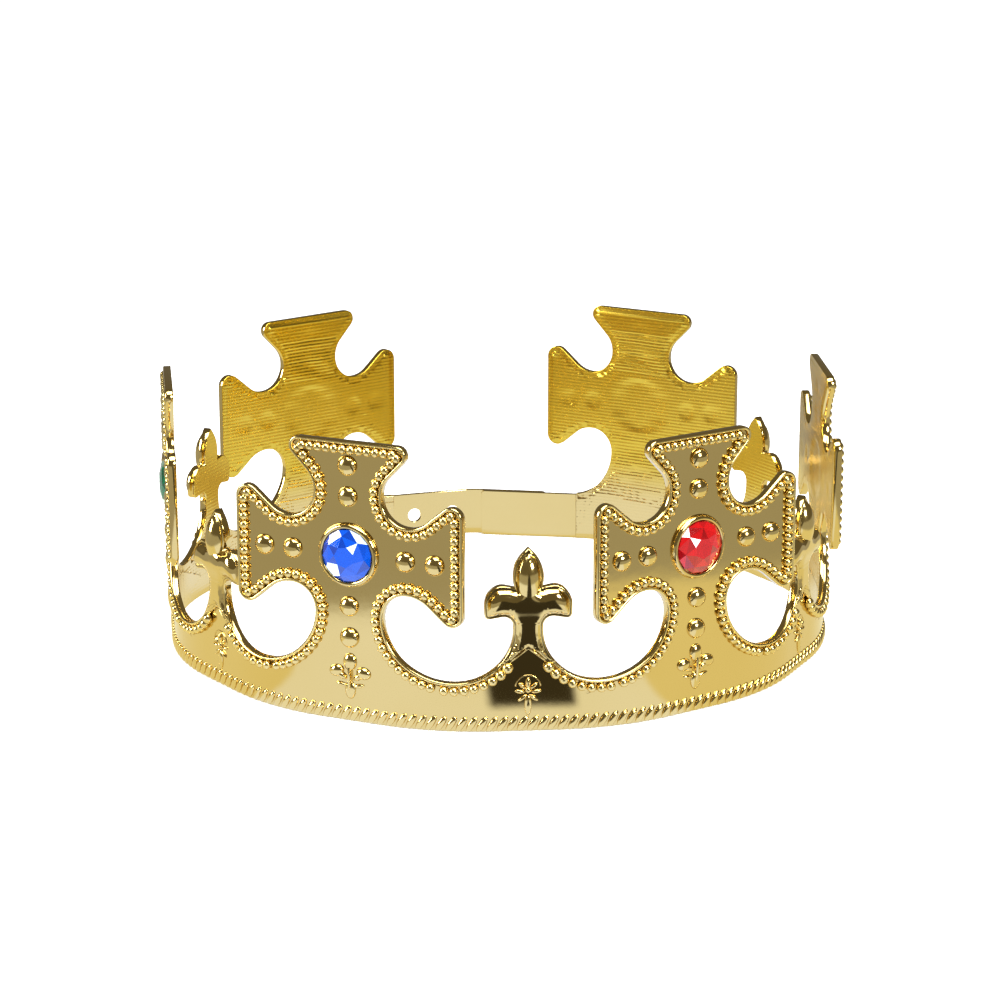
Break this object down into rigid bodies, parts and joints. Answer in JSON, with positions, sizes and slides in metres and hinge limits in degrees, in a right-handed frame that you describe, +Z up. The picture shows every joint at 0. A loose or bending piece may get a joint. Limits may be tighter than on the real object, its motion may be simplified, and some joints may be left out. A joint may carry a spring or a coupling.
{
  "type": "party crown",
  "caption": "Adjustable ring-shaped dress-up crown with upright cross and fleur panels, beaded edges, set faceted stones and a pegged strap closure at the back.",
  "frame": {"origin": "on the ring's vertical axis, at the level of its lower edge", "axes": "+Z up, -Y towards the front fleur, +X towards the viewer's right as the front is seen"},
  "size_m": [0.1966, 0.1972, 0.0771],
  "materials": {
    "gold_plating": "vacuum-metallised gold, mirror bright outside, finely ribbed inside",
    "stone_red": "clear faceted acrylic, foil backed",
    "stone_green": "clear faceted acrylic, foil backed",
    "stone_blue": "clear faceted acrylic, foil backed"
  },
  "bodies": {
    "ring": {"cross_front_left": "gold_plating", "cross_side_left": "gold_plating", "cross_back_left": "gold_plating", "cross_front_right": "gold_plating", "cross_side_right": "gold_plating", "cross_back_right": "gold_plating", "fleur_front": "gold_plating", "fleur_fore_left": "gold_plating", "fleur_aft_left": "gold_plating", "fleur_fore_right": "gold_plating", "fleur_aft_right": "gold_plating", "strap_outer": "gold_plating", "stone_front_left": "stone_blue", "stone_side_left": "stone_green", "stone_back_left": "stone_red", "stone_front_right": "stone_red", "stone_side_right": "stone_green", "stone_back_right": "stone_blue"},
    "inner_strap": {"strap_inner": "gold_plating"}
  },
  "joints": [
    {"name": "strap_release", "type": "hinge", "parent": "ring", "child": "inner_strap", "pos_m": [0.03362, 0.08824, 0.0073], "axis": [0, 0, 1], "range_deg": [0, 35], "stiffness_Nm_per_rad": 0.01}
  ]
}
